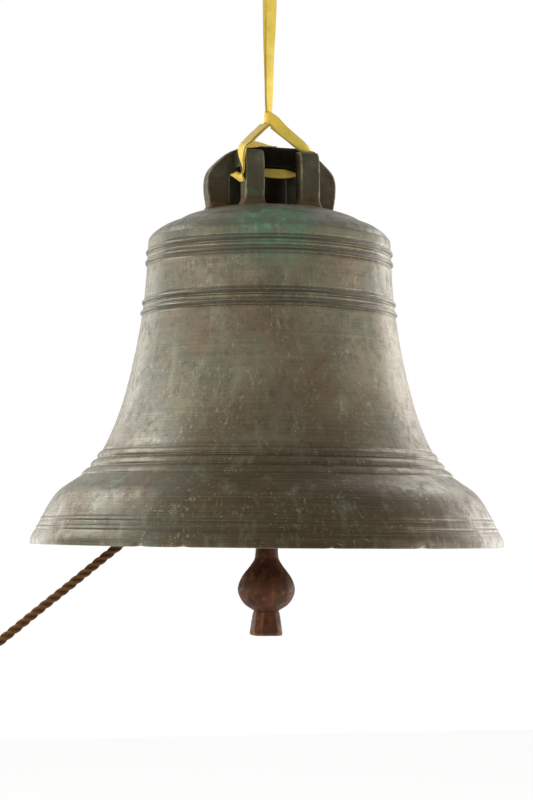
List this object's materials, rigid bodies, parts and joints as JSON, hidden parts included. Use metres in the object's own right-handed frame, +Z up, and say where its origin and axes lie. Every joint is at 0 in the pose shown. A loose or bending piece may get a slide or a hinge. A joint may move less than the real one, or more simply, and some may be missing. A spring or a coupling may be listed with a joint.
{
  "type": "bell",
  "caption": "Cast bronze tower bell with a crown of canons for a headstock, moulded bands, a swinging iron clapper with its rope, and a webbing sling round the crown.",
  "frame": {"origin": "middle of the flat seat on top of the crown, where the headstock bears", "axes": "+Z up out of the crown along the bell's own axis; X along the headstock line through the two single canons; +Y towards the back pair of canons; the picture looks in from the -Y side, 15 degrees round towards -X"},
  "size_m": [1.1089, 0.99, 1.5107],
  "materials": {
    "bell_metal": "cast bell metal under a brown-green patina with verdigris stains",
    "crown_metal": "cast bell metal, dark brown patina, rough as cast",
    "wrought_iron": "forged iron with tight brown rust",
    "pin_steel": "dull oiled steel",
    "leather": "greased hide",
    "rope": "three-strand laid fibre, matt",
    "webbing": "yellow woven polyester webbing",
    "shackle_steel": "galvanised steel"
  },
  "bodies": {
    "bell": {"bell_shell": "bell_metal", "argent": "crown_metal", "canon_left": "crown_metal", "canon_right": "crown_metal", "canon_front_left": "crown_metal", "canon_front_right": "crown_metal", "canon_back_left": "crown_metal", "canon_back_right": "crown_metal", "crown_staple": "wrought_iron", "clapper_pin": "pin_steel", "pin_washer": "pin_steel", "pin_nut": "pin_steel", "pin_cotter": "pin_steel", "clapper_spacers": "leather", "rope": "rope", "rope_end_knot": "rope", "sling_loop": "webbing", "sling_choke": "webbing", "sling_standing": "webbing", "sling_eye": "webbing", "shackle_bow": "shackle_steel", "shackle_pin": "shackle_steel"},
    "clapper": {"clapper": "wrought_iron", "clapper_bush": "leather", "rope_hitch": "rope"}
  },
  "joints": [
    {"name": "clapper_swing", "type": "hinge", "parent": "bell", "child": "clapper", "pos_m": [0, 0, -0.304], "axis": [1, 0, 0], "range_deg": [-33, 33]}
  ]
}
